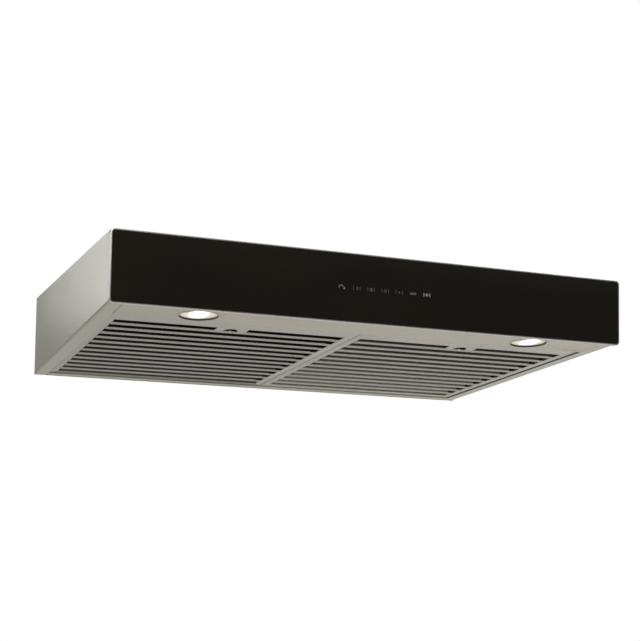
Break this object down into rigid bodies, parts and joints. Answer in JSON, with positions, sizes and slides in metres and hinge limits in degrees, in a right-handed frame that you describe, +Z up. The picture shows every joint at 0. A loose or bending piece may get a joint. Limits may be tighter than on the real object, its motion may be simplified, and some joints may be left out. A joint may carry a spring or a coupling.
{
  "type": "under cabinet range hood",
  "caption": "Slim under cabinet range hood with a black glass touch fascia, twin lamps, baffle filters on tilt hinges, a centrifugal blower and a rectangular duct collar with a damper.",
  "frame": {"origin": "centre of the top mounting face, on the top panel's upper surface", "axes": "+X to the cook's right, +Y back towards the wall, +Z up; the glass fascia faces -Y"},
  "size_m": [0.759, 0.521, 0.154],
  "materials": {
    "stainless": "brushed along the width, warm grey",
    "filter_steel": "satin",
    "black_glass": "gloss black, back painted",
    "lamp_trim": "satin plated",
    "lamp_diffuser": "frosted, lit",
    "galvanised": "spangled zinc",
    "cast_aluminium": "matt",
    "circuit_board": "solder mask",
    "black_plastic": "moulded",
    "white_plastic": "moulded",
    "motor_paint": "satin",
    "cable_sheath": "matt",
    "zinc_steel": "zinc plated"
  },
  "bodies": {
    "hood": {"top_panel": "stainless", "left_side_panel": "stainless", "right_side_panel": "stainless", "rear_panel": "stainless", "rear_rail": "stainless", "light_panel": "stainless", "front_frame": "stainless", "glass_panel": "black_glass", "lamp_bezel_left": "lamp_trim", "lamp_bezel_right": "lamp_trim", "lamp_lens_left": "lamp_diffuser", "lamp_lens_right": "lamp_diffuser", "blower_base_plate": "galvanised", "scroll_band": "galvanised", "scroll_inlet_plate": "galvanised", "outlet_plenum": "galvanised", "duct_collar": "galvanised", "rear_duct_cover": "galvanised", "wiring_box": "galvanised", "wiring_box_cover": "galvanised", "lamp_housing_left": "cast_aluminium", "lamp_housing_right": "cast_aluminium", "main_board": "circuit_board", "touch_board": "circuit_board", "lamp_led_board_left": "circuit_board", "lamp_led_board_right": "circuit_board", "control_housing": "black_plastic", "inlet_ring": "black_plastic", "run_capacitor": "black_plastic", "terminal_block": "white_plastic", "motor": "motor_paint", "control_cable": "cable_sheath", "motor_cable": "cable_sheath", "lamp_cable_left": "cable_sheath", "lamp_cable_right": "cable_sheath", "blower_screw_1": "zinc_steel", "blower_screw_2": "zinc_steel", "blower_screw_3": "zinc_steel", "blower_screw_4": "zinc_steel", "collar_screw_left": "zinc_steel", "collar_screw_right": "zinc_steel", "wiring_cover_screw": "zinc_steel"},
    "blower_rotor": {"blower_wheel": "cast_aluminium", "motor_shaft": "zinc_steel", "wheel_nut": "zinc_steel"},
    "damper": {"damper_flap": "galvanised", "damper_axle": "zinc_steel"},
    "filter_left": {"filter_frame_left": "filter_steel", "filter_slats_left": "filter_steel", "filter_baffles_left": "filter_steel", "latch_bridge_left": "filter_steel", "latch_spring_left": "zinc_steel"},
    "latch_left": {"filter_latch_left": "zinc_steel"},
    "filter_right": {"filter_frame_right": "filter_steel", "filter_slats_right": "filter_steel", "filter_baffles_right": "filter_steel", "latch_bridge_right": "filter_steel", "latch_spring_right": "zinc_steel"},
    "latch_right": {"filter_latch_right": "zinc_steel"}
  },
  "joints": [
    {"name": "blower_spin", "type": "hinge", "parent": "hood", "child": "blower_rotor", "pos_m": [-0.01, -0.01, -0.05], "axis": [0, 0, 1], "continuous": true},
    {"name": "damper_swing", "type": "hinge", "parent": "hood", "child": "damper", "pos_m": [0, 0.2275, 0.0105], "axis": [-1, 0, 0], "range_deg": [0, 75]},
    {"name": "filter_left_tilt", "type": "hinge", "parent": "hood", "child": "filter_left", "pos_m": [-0.1795, 0.24307, -0.12098], "axis": [1, 0, 0], "range_deg": [0, 50]},
    {"name": "latch_left_slide", "type": "slide", "parent": "filter_left", "child": "latch_left", "axis": [0, 0.9983, -0.0585], "range_m": [0, 0.004], "stiffness_N_per_m": 300, "springref_m": -0.004, "deforming": ["latch_spring_left"]},
    {"name": "filter_right_tilt", "type": "hinge", "parent": "hood", "child": "filter_right", "pos_m": [0.1795, 0.24307, -0.12098], "axis": [1, 0, 0], "range_deg": [0, 50]},
    {"name": "latch_right_slide", "type": "slide", "parent": "filter_right", "child": "latch_right", "axis": [0, 0.9983, -0.0585], "range_m": [0, 0.004], "stiffness_N_per_m": 300, "springref_m": -0.004, "deforming": ["latch_spring_right"]}
  ]
}
